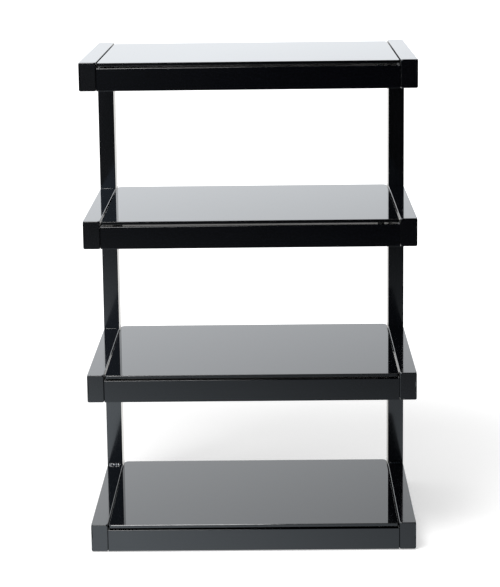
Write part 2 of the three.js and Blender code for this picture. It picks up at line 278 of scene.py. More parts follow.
def rounded_ring(half_a, half_b, radii, steps):
    """Points of a rectangle with arcs for corners, anticlockwise from the corner at +a +b:
    centre of each arc = sign * (half - radius), point = centre + radius * (cos t, sin t)."""
    signs = np.array([[1, 1], [-1, 1], [-1, -1], [1, -1]])
    radii = np.broadcast_to(np.asarray(radii, float), 4)
    t = (np.arange(4)[:, None] + np.linspace(0, 1, steps + 1)) * math.pi / 2
    centre = signs * (np.array([half_a, half_b]) - radii[:, None])
    circle = np.stack([np.cos(t), np.sin(t)], -1) * radii[:, None, None]
    return (centre[:, None] + circle).reshape(-1, 2)


def edge_profile(edge, steps):
    """Pairs (inset, distance from the end) of a quarter-round edge: inset = e (1 - sin t) and
    distance = e (1 - cos t) as t runs from 0 to a right angle."""
    t = np.linspace(0, math.pi / 2, steps + 1)
    return np.stack([edge * (1 - np.sin(t)), edge * (1 - np.cos(t))], -1)


def place_ring(ring, along, axes):
    """A ring in the plane of the first two axes, moved along the third."""
    a, b, c = (np.array(axis, float) for axis in axes)
    return ring[:, :1] * a + ring[:, 1:] * b + np.asarray(along, float) * c


def through_rings(rings):
    """A closed surface through a row of rings, with one flat polygon at each end."""
    rings = np.array(rings)
    surface = Surface()
    surface.grid(np.concatenate([rings, rings[:, :1]], 1))
    surface.polygon(rings[0], flip=True)
    surface.polygon(rings[-1])
    return surface


def closed_bar(half_a, half_b, low, high, corner, profile, axes):
    """A bar with rounded corners whose ring is inset near both ends by the profile's pairs of inset
    and distance from the end."""
    stations = [(inset, low + gap) for inset, gap in profile]
    stations += [(inset, high - gap) for inset, gap in profile[::-1]]
    rings = []
    for inset, along in stations:
        radius = max(corner - inset, LEAST_CORNER)
        ring = rounded_ring(half_a - inset, half_b - inset, radius, CORNER_STEPS)
        rings.append(place_ring(ring, along, axes))
    return through_rings(rings)


def lathe(radius, height, axes):
    """Rows of radii and heights, one column to each angle from 0 to a full turn, carried round the
    third axis: point = r cos t a + r sin t b + h c. The last column meets the first."""
    t = np.linspace(0, 2 * math.pi, radius.shape[1])
    a, b, c = (np.array(axis, float) for axis in axes)
    around = np.cos(t)[:, None] * a + np.sin(t)[:, None] * b
    points = radius[..., None] * around + height[..., None] * c
    points[:, -1] = points[:, 0]
    surface = Surface()
    surface.grid(points)
    return surface


def turned(profile, facets, axes):
    """A profile of (radius, height) pairs carried round the third axis."""
    profile = np.asarray(profile, float)
    rows = np.repeat(profile[:, None], facets + 1, 1)
    return lathe(rows[..., 0], rows[..., 1], axes)


def moved(surface, place):
    """The same surface moved to a place."""
    result = Surface()
    result.points = [points + np.array(place) for points in surface.points]
    result.faces, result.count = surface.faces, surface.count
    return result


# Shapes of the pieces

X, Y, Z = (1, 0, 0), (0, 1, 0), (0, 0, 1)
ALONG_X = (Y, Z, X)
ALONG_Z = (X, Y, Z)
OUTWARD = {-1: (Z, Y, (-1, 0, 0)), 1: (Y, Z, X)}


def hole_patch(half, cells):
    """Points at even spacing along a square's sides, and the rays from its centre through them."""
    side = np.linspace(-half, half, cells + 1)[:-1]
    square = np.concatenate([
        np.stack([np.full(cells, half), side], -1),
        np.stack([-side, np.full(cells, half)], -1),
        np.stack([np.full(cells, -half), -side], -1),
        np.stack([side, np.full(cells, -half)], -1),
    ])
    square = np.concatenate([square, square[:1]])
    rays = square / np.linalg.norm(square, axis=1, keepdims=True)
    return square, rays


def side_rail(low, high, sign, hole_places):
    """A tube along Y closed by flush end plates, hollow, with round access holes through its outer
    wall. The outer skin is a rounded ring carried along Y; its flat outer side is a grid whose cells
    round each hole give way to rays from the cells' edge to the rim. The inner skin is the same
    inset by the wall, and each hole's wall joins the two. The outer corners' radius grows towards both
    ends: radius = corner + (end corner - corner) * (1 - distance / reach) ** 2."""
    centre = (np.array(low) + np.array(high)) / 2
    half_x, half_y, half_z = (np.array(high) - np.array(low)) / 2
    surface = Surface()
    patch = HOLE_PATCH / 2
    cells = np.linspace(-patch, patch, HOLE_CELLS + 1)
    places = [y - centre[1] for y in hole_places]
    skins = [
        (0.0, TUBE_CORNER, END_CORNER, PLATE_EDGE, half_y, False),
        (TUBE_WALL, TUBE_INNER_CORNER, TUBE_INNER_CORNER, 0.0, half_y - PLATE_THICKNESS, True),
    ]
    for wall, corner, end_corner, edge, end, inward in skins:
        a, b = half_x - wall, half_z - wall
        profile = np.zeros((1, 2))
        if edge:
            softer = [[0.0, END_REACH / 2], [0.0, END_REACH]]
            profile = np.concatenate([edge_profile(edge, EDGE_STEPS), softer])
        flat_stations = np.concatenate([place + cells for place in places])
        stations = [(inset, -end + gap) for inset, gap in profile]
        stations += [(0.0, y) for y in flat_stations]
        stations += [(inset, end - gap) for inset, gap in profile[::-1]]
        insets = np.array([s[0] for s in stations])
        along = np.array([s[1] for s in stations])
        flat = b - corner
        rows = np.concatenate([[-flat], cells, [flat]])
        # open strip round the three other sides, from the top of the outer side to its foot
        strip = []
        side = []
        for inset, y in zip(insets, along):
            rounder = max(1 - (end - abs(y)) / END_REACH, 0.0) ** 2
            radius = corner + (end_corner - corner) * rounder
            ring = rounded_ring(a - inset, b - inset, radius, CORNER_STEPS)
            strip.append(np.stack([ring[:, 0] * sign, np.full(len(ring), y), ring[:, 1]], -1))
            scale = np.where(np.abs(rows) > patch + HAIR, (b - inset - radius) / flat, 1.0)
            z = rows * scale
            side.append(np.stack([np.full(len(z), (a - inset) * sign), np.full(len(z), y), z], -1))
        strip, side = np.array(strip), np.array(side)
        turn_over = (sign > 0) ^ inward
        surface.grid(strip, flip=not turn_over)
        for cap, over in ((strip[0], turn_over), (strip[-1], not turn_over)):
            surface.polygon(cap if over else cap[::-1])
        blocked = np.any([
            (along[:-1] >= place - patch - HAIR) & (along[1:] <= place + patch + HAIR) for place in places
        ], axis=0)
        for k in range(len(along) - 1):
            band = side[k:k + 2]
            for part in (band[:, :2], band[:, -2:]) if blocked[k] else (band,):
                surface.grid(part, flip=not turn_over)
        square, rays = hole_patch(patch, HOLE_CELLS)
        rim = 0.0 if inward else HOLE_RIM
        t = np.linspace(0, math.pi / 2, EDGE_STEPS + 1 if rim else 1)
        radii = ACCESS_HOLE / 2 + rim * (1 - np.sin(t))
        depths = rim * (1 - np.cos(t))
        for place in places:
            levels = [np.concatenate([square, np.zeros((len(square), 1))], 1)]
            for radius, depth in zip(radii, depths):
                levels.append(np.concatenate([rays * radius, np.full((len(rays), 1), depth)], 1))
            if not inward:
                wall_end = np.full((len(rays), 1), TUBE_WALL)
                levels.append(np.concatenate([rays * ACCESS_HOLE / 2, wall_end], 1))
            levels = np.array(levels)
            points = np.stack([
                (a - levels[..., 2]) * sign, place + levels[..., 0], levels[..., 1]
            ], -1)
            surface.grid(points, flip=turn_over)
    return moved(surface, centre)


def glass_plate(low, high):
    """A plate with rounded corners whose rims are flat ground arrises with slightly broken edges: the
    outline is inset by the arris at the bottom, full between the arrises and inset again at the top."""
    centre = (np.array(low) + np.array(high)) / 2
    half_x, half_y, half_z = (np.array(high) - np.array(low)) / 2
    outline = [
        (GLASS_ARRIS + ARRIS_EDGE, -half_z),
        (GLASS_ARRIS - ARRIS_EDGE, -half_z + ARRIS_EDGE),
        (ARRIS_EDGE, -half_z + GLASS_ARRIS - ARRIS_EDGE),
        (0.0, -half_z + GLASS_ARRIS + ARRIS_EDGE),
        (0.0, half_z - GLASS_ARRIS - ARRIS_EDGE),
        (ARRIS_EDGE, half_z - GLASS_ARRIS + ARRIS_EDGE),
        (GLASS_ARRIS - ARRIS_EDGE, half_z - ARRIS_EDGE),
        (GLASS_ARRIS + ARRIS_EDGE, half_z),
    ]
    radii = np.array([GLASS_REAR_RADIUS] * 2 + [GLASS_FRONT_RADIUS] * 2)
    rings = []
    for inset, z in outline:
        ring = rounded_ring(half_x - inset, half_y - inset, radii - inset, GLASS_CORNER_STEPS)
        rings.append(place_ring(ring, z, ALONG_Z))
    return moved(through_rings(rings), centre)


def weld_bead(leg, ripples, share, roughness, fineness, seed, upside_down):
    """A fillet carried along X with its corner at zero, out towards -Y and up or down, over u along
    it and v across it. Its reach is leg * taper * (1 + share * (ripple - middle) + roughness * waves).
    The ripple is a row of overlapping crescents |sin(pi (n u + bow))|, the waves are the sum of
    sin(2 pi k u + phase) cos(across k v + turn) / k ** fade, and the taper is the end share at both
    ends and 1 between them. Across the fillet the reach is fullest at its feet and its middle."""
    u = np.linspace(0, 1, fineness * ripples + 1)
    v = np.linspace(0, 1, fineness + 1)
    uu, vv = np.meshgrid(u, v, indexing="ij")
    bow = RIPPLE_BOW * (1 - (2 * vv - 1) ** 2)
    ripple = np.abs(np.sin(math.pi * (ripples * uu + bow)))
    rng = np.random.default_rng(seed)
    waves = np.zeros_like(uu)
    for order in WAVE_ORDERS:
        phase, turn = rng.uniform(0, 2 * math.pi, 2)
        along = np.sin(order * math.pi * uu * 2 + phase)
        waves += along * np.cos(order * vv * WAVE_ACROSS + turn) / order ** WAVE_FADE
    ends = np.sqrt(np.clip(1 - (2 * uu - 1) ** WELD_END_POWER, 0, 1))
    taper = WELD_END_SHARE + (1 - WELD_END_SHARE) * ends
    reach = leg * taper * (1 + share * (ripple - RIPPLE_MIDDLE) + roughness * waves)
    t = vv * math.pi / 2
    crown = 1 - WELD_CROWN_SHARE * (1 - np.abs(np.cos(2 * t)))
    y = -reach * np.cos(t) * crown
    z = reach * np.sin(t) * crown
    x = (uu - 0.5) * WELD_LENGTH
    face = np.stack([x, y, z], -1)
    back_foot = np.stack([x[:, :1], np.full_like(x[:, :1], WELD_EMBED), z[:, :1] * 0], -1)
    back_top = np.stack([x[:, -1:], np.full_like(x[:, :1], WELD_EMBED), z[:, -1:]], -1)
    loop = np.concatenate([back_foot, face, back_top, back_foot], 1)
    if upside_down:
        loop = loop * np.array([1, 1, -1])
    surface = Surface()
    surface.grid(loop, flip=upside_down)
    surface.polygon(loop[0, :-1], flip=not upside_down)
    surface.polygon(loop[-1, :-1], flip=upside_down)
    return surface


def socket_bolt(sign, length):
    """A socket-head bolt with its seat at zero and its head outwards. The head's side is knurled:
    r = R - depth |sin(n t / 2)|; the socket is a hexagon: r = a / cos(t mod 60 - 30 degrees)."""
    t = np.linspace(0, 2 * math.pi, 4 * KNURL_TEETH + 1)
    one = np.ones_like(t)
    knurl = BOLT_HEAD - KNURL_DEPTH * np.abs(np.sin(KNURL_TEETH * t / 2))
    hexagon = HEX_HALF / np.cos(t % (math.pi / 3) - math.pi / 6)
    rows = [
        (0 * one, -length),
        (one * (BOLT_SHANK - BOLT_EDGE), -length),
        (one * BOLT_SHANK, BOLT_EDGE - length),
        (one * BOLT_SHANK, 0.0),
        (one * (BOLT_HEAD - BOLT_EDGE / 2), 0.0),
        (knurl, BOLT_EDGE / 2),
        (knurl, BOLT_HEAD_HEIGHT - BOLT_EDGE),
        (one * (BOLT_HEAD - KNURL_DEPTH), BOLT_HEAD_HEIGHT - HEAD_RIM_SHARE * BOLT_EDGE),
    ]
    for lean in np.linspace(0.25, 1, 4) * math.pi / 2:
        inset = BOLT_EDGE * (1 - math.cos(lean)) + KNURL_DEPTH
        drop = HEAD_RIM_SHARE * BOLT_EDGE * (1 - math.sin(lean))
        rows.append((one * (BOLT_HEAD - inset), BOLT_HEAD_HEIGHT - drop))
    rows += [
        (hexagon + HEX_MOUTH, BOLT_HEAD_HEIGHT),
        (hexagon, BOLT_HEAD_HEIGHT - HEX_MOUTH),
        (hexagon, BOLT_HEAD_HEIGHT - HEX_DEPTH),
        (0 * one, BOLT_HEAD_HEIGHT - HEX_DEPTH - HEX_MOUTH),
    ]
    radius = np.array([row[0] for row in rows])
    height = np.array([row[1] * one for row in rows])
    return lathe(radius, height, OUTWARD[sign])


def levelling_foot(base, top, reach):
    """A round base with quarter-round rims and a threaded stud. On the stud the radius is
    R - depth * |2 frac(h / pitch - t / 2 pi) - 1|, and the thread runs out at both ends."""
    lean = np.linspace(0, math.pi / 2, FOOT_EDGE_STEPS + 1)
    rim = [(base - FOOT_EDGE * (1 - math.sin(a)), FOOT_EDGE * (1 - math.cos(a))) for a in lean]
    profile = [(0.0, 0.0)] + rim + [(r, top - h) for r, h in rim[::-1]]
    profile.append((THREAD_RADIUS - THREAD_DEPTH, top))
    columns = THREAD_COLUMNS + 1
    t = np.linspace(0, 1, columns)
    rows = int((reach - top) / THREAD_PITCH * THREAD_ROWS) + 1
    heights = np.linspace(top, reach - THREAD_DEPTH, rows)[:, None]
    turn = (heights / THREAD_PITCH - t) % 1
    run_out = np.clip(np.minimum(heights - top, reach - THREAD_DEPTH - heights) / THREAD_PITCH, 0, 1)
    groove = THREAD_DEPTH * (1 - (1 - np.abs(2 * turn - 1)) * run_out)
    radius = np.concatenate([
        np.repeat(np.array(profile)[:, :1], columns, 1), THREAD_RADIUS - groove,
        np.full((1, columns), THREAD_RADIUS - 2 * THREAD_DEPTH), np.zeros((1, columns)),
    ])
    height = np.concatenate([
        np.repeat(np.array(profile)[:, 1:], columns, 1), np.repeat(heights, columns, 1),
        np.full((2, columns), reach),
    ])
    return lathe(radius, height, ALONG_Z)


def weld_nut(length):
    """A nut whose pilot starts at zero, with its flange and body above; the profile closes on itself
    round the bore."""
    ledge = NUT_PILOT_HEIGHT + NUT_FLANGE_HEIGHT
    profile = [
        (NUT_BORE, 0.0),
        (NUT_PILOT, 0.0),
        (NUT_PILOT, NUT_PILOT_HEIGHT),
        (NUT_FLANGE, NUT_PILOT_HEIGHT),
        (NUT_FLANGE, ledge - NUT_EDGE),
        (NUT_FLANGE - NUT_EDGE, ledge),
        (NUT_BODY, ledge),
        (NUT_BODY, length - NUT_EDGE),
        (NUT_BODY - NUT_EDGE, length),
        (NUT_BORE, length),
        (NUT_BORE, 0.0),
    ]
    return turned(profile, NUT_FACETS, ALONG_Z)


def round_pad(radius, height):
    """A round pad with a flat foot and a quarter-round upper rim."""
    t = np.linspace(0, math.pi / 2, EDGE_STEPS + 1)
    rim = [(radius - PAD_EDGE * (1 - math.cos(a)), height - PAD_EDGE * (1 - math.sin(a))) for a in t]
    return turned([(0, 0), (radius, 0)] + rim + [(0, height)], PAD_FACETS, ALONG_Z)


# Materials

def value_group(name, inputs, outputs):
    """An empty shader group with float inputs {name: default} and float outputs [names]."""
    group = bpy.data.node_groups.new(name, "ShaderNodeTree")
    group.interface.new_socket("Vector", in_out="INPUT", socket_type="NodeSocketVector")
    for label, default in inputs.items():
        socket = group.interface.new_socket(label, in_out="INPUT", socket_type="NodeSocketFloat")
        socket.default_value = default
    for label in outputs:
        group.interface.new_socket(label, in_out="OUTPUT", socket_type="NodeSocketFloat")
    return group, group.nodes.new("NodeGroupInput"), group.nodes.new("NodeGroupOutput")


def node(tree, kind, settings=None, **inputs):
    """A node with its settings made and its inputs set or linked; a name stands for the socket of
    that name with its underscores as spaces."""
    made = tree.nodes.new(kind)
    for key, setting in (settings or {}).items():
        setattr(made, key, setting)
    for key, source in inputs.items():
        key = int(key[1:]) if key[0] == "_" else key.replace("_", " ")
        if isinstance(source, bpy.types.NodeSocket):
            tree.links.new(source, made.inputs[key])
        else:
            made.inputs[key].default_value = source
    return made


def math_node(tree, operation, a, b=0.0, c=0.0, clamp=False):
    """The result of one sum on up to three values or sockets."""
    settings = {"operation": operation, "use_clamp": clamp}
    return node(tree, "ShaderNodeMath", settings, _0=a, _1=b, _2=c).outputs[0]


def product(tree, first, *others):
    """The product of two or more values or sockets."""
    for other in others:
        first = math_node(tree, "MULTIPLY", first, other)
    return first


def size_of(tree, source):
    """A value without its sign."""
    return math_node(tree, "ABSOLUTE", source)


def rest_of(tree, source):
    """What is left of 1 beside a share."""
    return math_node(tree, "SUBTRACT", 1.0, source)


def decay(tree, source, rate):
    """e ** -(rate * source)."""
    return math_node(tree, "POWER", EULER, math_node(tree, "MULTIPLY", source, -rate))


def ramp(tree, source, low, high, out_low=0.0, out_high=1.0):
    """A smooth step from one value to another as the source rises from low to high."""
    settings = {"interpolation_type": "SMOOTHSTEP"}
    made = node(tree, "ShaderNodeMapRange", settings, Value=source)
    for key, value in (("From Min", low), ("From Max", high), ("To Min", out_low), ("To Max", out_high)):
        if isinstance(value, bpy.types.NodeSocket):
            tree.links.new(value, made.inputs[key])
        else:
            made.inputs[key].default_value = value
    return made.outputs["Result"]


def make_lacquer_flow():
    """Height of a sprayed coat: long waves of the stock plus the fine orange peel of the spray."""
    defaults = {"Wave Size": 40.0, "Wave Share": 1.0, "Peel Size": 700.0, "Peel Share": 0.2}
    tree, ins, outs = value_group("lacquer_flow", defaults, ["Height"])
    wave = node(tree, "ShaderNodeTexNoise", Vector=ins.outputs["Vector"], Scale=ins.outputs["Wave Size"],
                Detail=1.0, Roughness=0.4)
    peel = node(tree, "ShaderNodeTexNoise", Vector=ins.outputs["Vector"], Scale=ins.outputs["Peel Size"],
                Detail=2.0, Roughness=0.5)
    wave = product(tree, wave.outputs["Fac"], ins.outputs["Wave Share"])
    peel = product(tree, peel.outputs["Fac"], ins.outputs["Peel Share"])
    tree.links.new(math_node(tree, "ADD", wave, peel), outs.inputs["Height"])
    return tree


def make_handling_marks():
    """Masks of handling: soft cloudy smudges and thin wiping streaks, each from 0 to 1."""
    defaults = {"Cloud Size": 9.0, "Streak Size": 30.0}
    tree, ins, outs = value_group("handling_marks", defaults, ["Cloud", "Streak"])
    cloud = node(tree, "ShaderNodeTexNoise", Vector=ins.outputs["Vector"], Scale=ins.outputs["Cloud Size"],
                 Detail=4.0, Roughness=0.6, Distortion=0.6)
    turned_about = node(tree, "ShaderNodeMapping", Vector=ins.outputs["Vector"], Rotation=(0.0, 0.0, 0.35),
                        Scale=(1.0, 16.0, 16.0))
    streak = node(tree, "ShaderNodeTexNoise", Vector=turned_about.outputs["Vector"],
                  Scale=ins.outputs["Streak Size"], Detail=3.0, Roughness=0.7)
    tree.links.new(ramp(tree, cloud.outputs["Fac"], *CLOUD_EDGE), outs.inputs["Cloud"])
    tree.links.new(ramp(tree, streak.outputs["Fac"], *STREAK_EDGE), outs.inputs["Streak"])
    return tree


def make_dust():
    """Mask of settled dust: small dots, each kept or dropped by its own random number, on faces that
    look up."""
    defaults = {"Spacing": 120.0, "Dot": 0.05, "Share": 0.12}
    tree, ins, outs = value_group("settled_dust", defaults, ["Mask"])
    cells = node(tree, "ShaderNodeTexVoronoi", Vector=ins.outputs["Vector"], Scale=ins.outputs["Spacing"])
    dot = math_node(tree, "LESS_THAN", cells.outputs["Distance"], ins.outputs["Dot"])
    pick = node(tree, "ShaderNodeSeparateColor", Color=cells.outputs["Color"])
    keep = math_node(tree, "LESS_THAN", pick.outputs["Red"], ins.outputs["Share"])
    geometry = node(tree, "ShaderNodeNewGeometry")
    normal = node(tree, "ShaderNodeSeparateXYZ", Vector=geometry.outputs["Normal"])
    up = ramp(tree, normal.outputs["Z"], *LOOKS_UP)
    tree.links.new(product(tree, dot, keep, up), outs.inputs["Mask"])
    return tree


LACQUER_FLOW = make_lacquer_flow()
HANDLING = make_handling_marks()
DUST = make_dust()


def material(name):
    """A fresh material, its tree, its principled shader and the object coordinates."""
    made = bpy.data.materials.new(name)
    made.use_nodes = True
    tree = made.node_tree
    shader = tree.nodes["Principled BSDF"]
    place = node(tree, "ShaderNodeTexCoord").outputs["Object"]
    return made, tree, shader, place


def grouped(tree, group, place, **inputs):
    """One use of a shader group at given values."""
    made = node(tree, "ShaderNodeGroup", {"node_tree": group}, Vector=place)
    for key, value in inputs.items():
        made.inputs[key.replace("_", " ")].default_value = value
    return made


def blend_colours(tree, mask, base, over):
    """A colour that goes from base to over with the mask."""
    mix = node(tree, "ShaderNodeMix", {"data_type": "RGBA"}, Factor=mask)
    for socket, colour in ((mix.inputs[6], base), (mix.inputs[7], over)):
        if isinstance(colour, bpy.types.NodeSocket):
            tree.links.new(colour, socket)
        else:
            socket.default_value = (*colour, 1.0)
    return mix.outputs[2]


def make_lacquer(name, index, dark, pale, softness=0.0, dryness=1.0):
    """Deep gloss black lacquer under a clear coat, with a faint spray texture and a little dust. The
    end plates of the side rails carry a painted sheen, a lighter colour that stands in for light falling
    on them, more on the left ones. Sides that face inwards have a drier spray, rougher and with less of
    the clear coat by their dryness, and the tops of the cross rails have no clear coat. The softness adds
    to the roughness of both layers."""
    made, tree, shader, place = material(name)
    flow = grouped(
        tree, LACQUER_FLOW, place, Wave_Size=22.0, Wave_Share=0.6, Peel_Size=520.0, Peel_Share=0.05
    )
    marks = grouped(tree, HANDLING, place, Cloud_Size=7.0, Streak_Size=26.0)
    dust = grouped(tree, DUST, place, Spacing=95.0, Dot=0.05, Share=0.10)
    tone = node(tree, "ShaderNodeTexNoise", Vector=place, Scale=5.0, Detail=2.0)
    colour = blend_colours(tree, ramp(tree, tone.outputs["Fac"], *NOISE_MIDDLE), dark, pale)
    split = node(tree, "ShaderNodeSeparateXYZ", Vector=place)
    inner_face = HALF_WIDTH - TUBE_WIDTH
    aside, astern = size_of(tree, split.outputs["X"]), size_of(tree, split.outputs["Y"])
    across = ramp(tree, aside, inner_face - FINISH_BLEND, inner_face)
    along = ramp(tree, astern, HALF_DEPTH - 3 * FINISH_BLEND, HALF_DEPTH - FINISH_BLEND)
    # painted sheen: the end plates get a lighter colour that stands in for light falling on them, most on
    # the left
    paler = product(tree, across, along, ramp(tree, split.outputs["X"], *PAINTED_SHEEN_TO_LEFT))
    colour = blend_colours(tree, paler, colour, END_PLATE_PAINTED_SHEEN)
    colour = blend_colours(tree, dust.outputs["Mask"], colour, DUST_TONE)
    tree.links.new(colour, shader.inputs["Base Color"])
    geometry = node(tree, "ShaderNodeNewGeometry")
    normal = node(tree, "ShaderNodeSeparateXYZ", Vector=geometry.outputs["True Normal"])
    sideways = ramp(tree, size_of(tree, normal.outputs["X"]), *FACES_STRAIGHT)
    inner = ramp(tree, aside, inner_face + 2 * FINISH_BLEND, inner_face + FINISH_BLEND)
    dry = product(tree, sideways, inner, dryness)
    smudges = marks.outputs["Cloud"]
    rough = math_node(tree, "MULTIPLY_ADD", smudges, SMUDGE_ROUGHNESS, LACQUER_ROUGHNESS + softness)
    rough = math_node(tree, "ADD", rough, product(tree, dry, DRY_ROUGHNESS))
    tree.links.new(rough, shader.inputs["Roughness"])
    shader.inputs["IOR"].default_value = index
    shader.inputs["Coat IOR"].default_value = index
    tops = ramp(tree, normal.outputs["Z"], *FACES_STRAIGHT)
    bare = math_node(tree, "MAXIMUM", product(tree, tops, rest_of(tree, across)), dry)
    tree.links.new(rest_of(tree, bare), shader.inputs["Coat Weight"])
    shader.inputs["Coat Roughness"].default_value = LACQUER_COAT_ROUGHNESS + softness
    bump = node(tree, "ShaderNodeBump", Height=flow.outputs["Height"], Strength=1.0, Distance=SPRAY_DEPTH)
    tree.links.new(bump.outputs["Normal"], shader.inputs["Normal"])
    return made


def make_black_glass():
    """Opaque black glass with wiping streaks; its ground arrises are a little duller and paler, and
    its underside is satin without a clear coat."""
    made, tree, shader, place = material("black_glass")
    marks = grouped(tree, HANDLING, place, Cloud_Size=5.0, Streak_Size=14.0)
    dust = grouped(tree, DUST, place, Spacing=80.0, Dot=0.045, Share=0.10)
    geometry = node(tree, "ShaderNodeNewGeometry")
    normal = node(tree, "ShaderNodeSeparateXYZ", Vector=geometry.outputs["True Normal"])
    off_arris = math_node(tree, "SUBTRACT", size_of(tree, normal.outputs["Z"]), ARRIS_LEAN)
    arris = ramp(tree, rest_of(tree, size_of(tree, off_arris)), *ARRIS_SLOPE)
    colour = blend_colours(tree, arris, GLASS_TONE, ARRIS_TONE)
    colour = blend_colours(tree, dust.outputs["Mask"], colour, DUST_TONE)
    tree.links.new(colour, shader.inputs["Base Color"])
    wiped = product(tree, marks.outputs["Streak"], marks.outputs["Cloud"])
    rough = math_node(tree, "MULTIPLY_ADD", wiped, WIPED_ROUGHNESS, GLASS_ROUGHNESS)
    rough = math_node(tree, "ADD", rough, product(tree, arris, ARRIS_ROUGHNESS))
    under = ramp(tree, normal.outputs["Z"], *FACES_DOWN)
    rough = math_node(tree, "ADD", rough, product(tree, under, UNDERSIDE_ROUGHNESS))
    tree.links.new(rough, shader.inputs["Roughness"])
    shader.inputs["IOR"].default_value = GLASS_INDEX
    shader.inputs["Coat IOR"].default_value = GLASS_INDEX
    tree.links.new(rest_of(tree, under), shader.inputs["Coat Weight"])
    shader.inputs["Coat Roughness"].default_value = GLASS_COAT_ROUGHNESS
    return made


def make_zinc():
    """Bright zinc plate with fine crystalline blotches and a faint yellowish bloom."""
    made, tree, shader, place = material("zinc_steel")
    grain = node(tree, "ShaderNodeTexVoronoi", Vector=place, Scale=900.0)
    cloud = node(tree, "ShaderNodeTexNoise", Vector=place, Scale=160.0, Detail=4.0)
    colour = blend_colours(tree, cloud.outputs["Fac"], ZINC_BLUE, ZINC_YELLOW)
    tree.links.new(colour, shader.inputs["Base Color"])
    shader.inputs["Metallic"].default_value = 1.0
    height = grain.outputs["Distance"]
    rough = math_node(tree, "MULTIPLY_ADD", height, ZINC_GRAIN_ROUGHNESS, ZINC_ROUGHNESS)
    tree.links.new(rough, shader.inputs["Roughness"])
    bump = node(tree, "ShaderNodeBump", Height=height, Strength=0.4, Distance=ZINC_GRAIN_DEPTH)
    tree.links.new(bump.outputs["Normal"], shader.inputs["Normal"])
    return made


def make_rubber():
    """Milky soft pad with cloudy depth and a slight bloom."""
    made, tree, shader, place = material("clear_rubber")
    cloud = node(tree, "ShaderNodeTexNoise", Vector=place, Scale=220.0, Detail=3.0)
    colour = blend_colours(tree, cloud.outputs["Fac"], RUBBER_DARK, RUBBER_PALE)
    tree.links.new(colour, shader.inputs["Base Color"])
    tree.links.new(ramp(tree, cloud.outputs["Fac"], *RUBBER_GLOSS), shader.inputs["Roughness"])
    return made


def make_nylon():
    """Moulded black nylon with the fine stipple of a spark-eroded mould."""
    made, tree, shader, place = material("black_nylon")
    stipple = node(tree, "ShaderNodeTexNoise", Vector=place, Scale=1400.0, Detail=3.0, Roughness=0.6)
    cloud = node(tree, "ShaderNodeTexNoise", Vector=place, Scale=60.0, Detail=2.0)
    colour = blend_colours(tree, cloud.outputs["Fac"], NYLON_DARK, NYLON_PALE)
    tree.links.new(colour, shader.inputs["Base Color"])
    tree.links.new(ramp(tree, cloud.outputs["Fac"], *NYLON_GLOSS), shader.inputs["Roughness"])
    height = stipple.outputs["Fac"]
    bump = node(tree, "ShaderNodeBump", Height=height, Strength=0.5, Distance=NYLON_STIPPLE_DEPTH)
    tree.links.new(bump.outputs["Normal"], shader.inputs["Normal"])
    return made


LACQUER = make_lacquer("gloss_black_lacquer", LACQUER_INDEX, LACQUER_DARK, LACQUER_PALE)
# painted sheen: the posts' lacquer has lighter tones that stand in for light on them
POST_LACQUER = make_lacquer(
    "gloss_black_lacquer_on_posts", LACQUER_INDEX, POST_PAINTED_SHEEN_DARK, POST_PAINTED_SHEEN_PALE, POST_SOFTNESS, POST_DRYNESS
)
BEAD_LACQUER = make_lacquer("gloss_black_lacquer_on_welds", BEAD_INDEX, LACQUER_DARK, LACQUER_PALE)
GLASS = make_black_glass()
ZINC = make_zinc()
RUBBER = make_rubber()
NYLON = make_nylon()


def set_corner_normals(mesh):
    """Normals that keep flat sides flat: at each face corner, the sum over the faces round the point
    that lean less than SMOOTH_LEAN away, each weighted by its area to the third power."""
    count = len(mesh.polygons)
    normals = np.empty(count * 3)
    areas, totals = np.empty(count), np.empty(count, np.int32)
    mesh.polygons.foreach_get("normal", normals)
    mesh.polygons.foreach_get("area", areas)
    mesh.polygons.foreach_get("loop_total", totals)
    normals = normals.reshape(-1, 3)
    corner_point = np.empty(len(mesh.loops), np.int32)
    mesh.loops.foreach_get("vertex_index", corner_point)
    corner_face = np.repeat(np.arange(count), totals)
    order = np.argsort(corner_point, kind="stable")
    valence = np.bincount(corner_point, minlength=len(mesh.vertices))
    start = np.concatenate([[0], np.cumsum(valence)[:-1]])
    slot = np.arange(len(order)) - np.repeat(start, valence)
    around = np.full((len(mesh.vertices), valence.max()), -1)
    around[corner_point[order], slot] = corner_face[order]
    near = around[corner_point]
    lean = np.einsum("cfk,ck->cf", normals[near], normals[corner_face])
    weight = areas[near] ** 3 * (lean > math.cos(SMOOTH_LEAN)) * (near >= 0)
    weight /= weight.max(1, keepdims=True)
    total = np.einsum("cf,cfk->ck", weight, normals[near])
    total /= np.linalg.norm(total, axis=1, keepdims=True)
    mesh.normals_split_custom_set(total.tolist())


def piece(name, surface, finish, body, cad):
    """A surface as an object that rides on a body and stands for a CAD node."""
    points, faces = surface.merged()
    mesh = bpy.data.meshes.new(name)
    mesh.from_pydata(points.tolist(), [], faces)
    mesh.update()
    mesh.shade_smooth()
    set_corner_normals(mesh)
    mesh.materials.append(finish)
    made = bpy.data.objects.new(name, mesh)
    bpy.context.scene.collection.objects.link(made)
    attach(made, body)
    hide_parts(cad)


def middle_of(cad):
    """The middle of a CAD node's box."""
    low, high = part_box(cad)
    return (low + high) / 2


def spans(low, high):
    """The middle of a box along each axis, then half its size along each axis."""
    middle = [(a + b) / 2 for a, b in zip(low, high)]
    half = [(b - a) / 2 for a, b in zip(low, high)]
    return middle, half


# The rack

